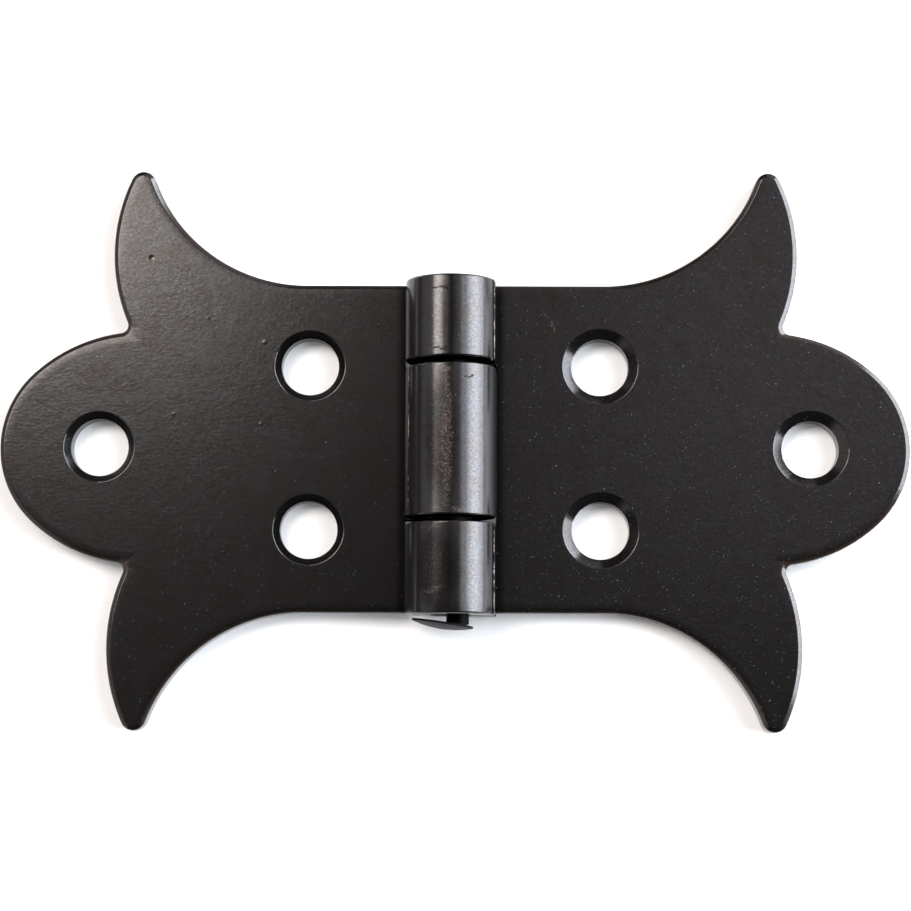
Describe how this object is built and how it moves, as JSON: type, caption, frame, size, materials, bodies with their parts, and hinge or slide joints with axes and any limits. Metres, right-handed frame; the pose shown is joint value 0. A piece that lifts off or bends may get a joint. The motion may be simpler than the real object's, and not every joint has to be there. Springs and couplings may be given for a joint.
{
  "type": "decorative strap hinge",
  "caption": "Blackened steel strap hinge with horned, round-lobed leaves, countersunk screw holes and rolled knuckles on a headed pin.",
  "frame": {"origin": "on the plane of the leaves' backs, midway between the ends of the two lobes and between the horn tips; the pin is 0.4 mm nearer to the leaf with one knuckle", "axes": "+X across the hinge towards the leaf with two knuckles, +Y along the barrel away from the pin's head, +Z out of the show face"},
  "size_m": [0.09, 0.0556, 0.0089],
  "materials": {
    "leaf": "blackened and waxed, satin with fine pits",
    "pin": "blackened, hammered head"
  },
  "bodies": {
    "fixed_leaf": {"leaf_double_knuckle": "leaf", "hinge_pin": "pin"},
    "swinging_leaf": {"leaf_single_knuckle": "leaf"}
  },
  "joints": [
    {"name": "leaf_swing", "type": "hinge", "parent": "fixed_leaf", "child": "swinging_leaf", "pos_m": [-0.0004, 0, 0.00445], "axis": [0, 1, 0], "range_deg": [-90, 184]}
  ]
}
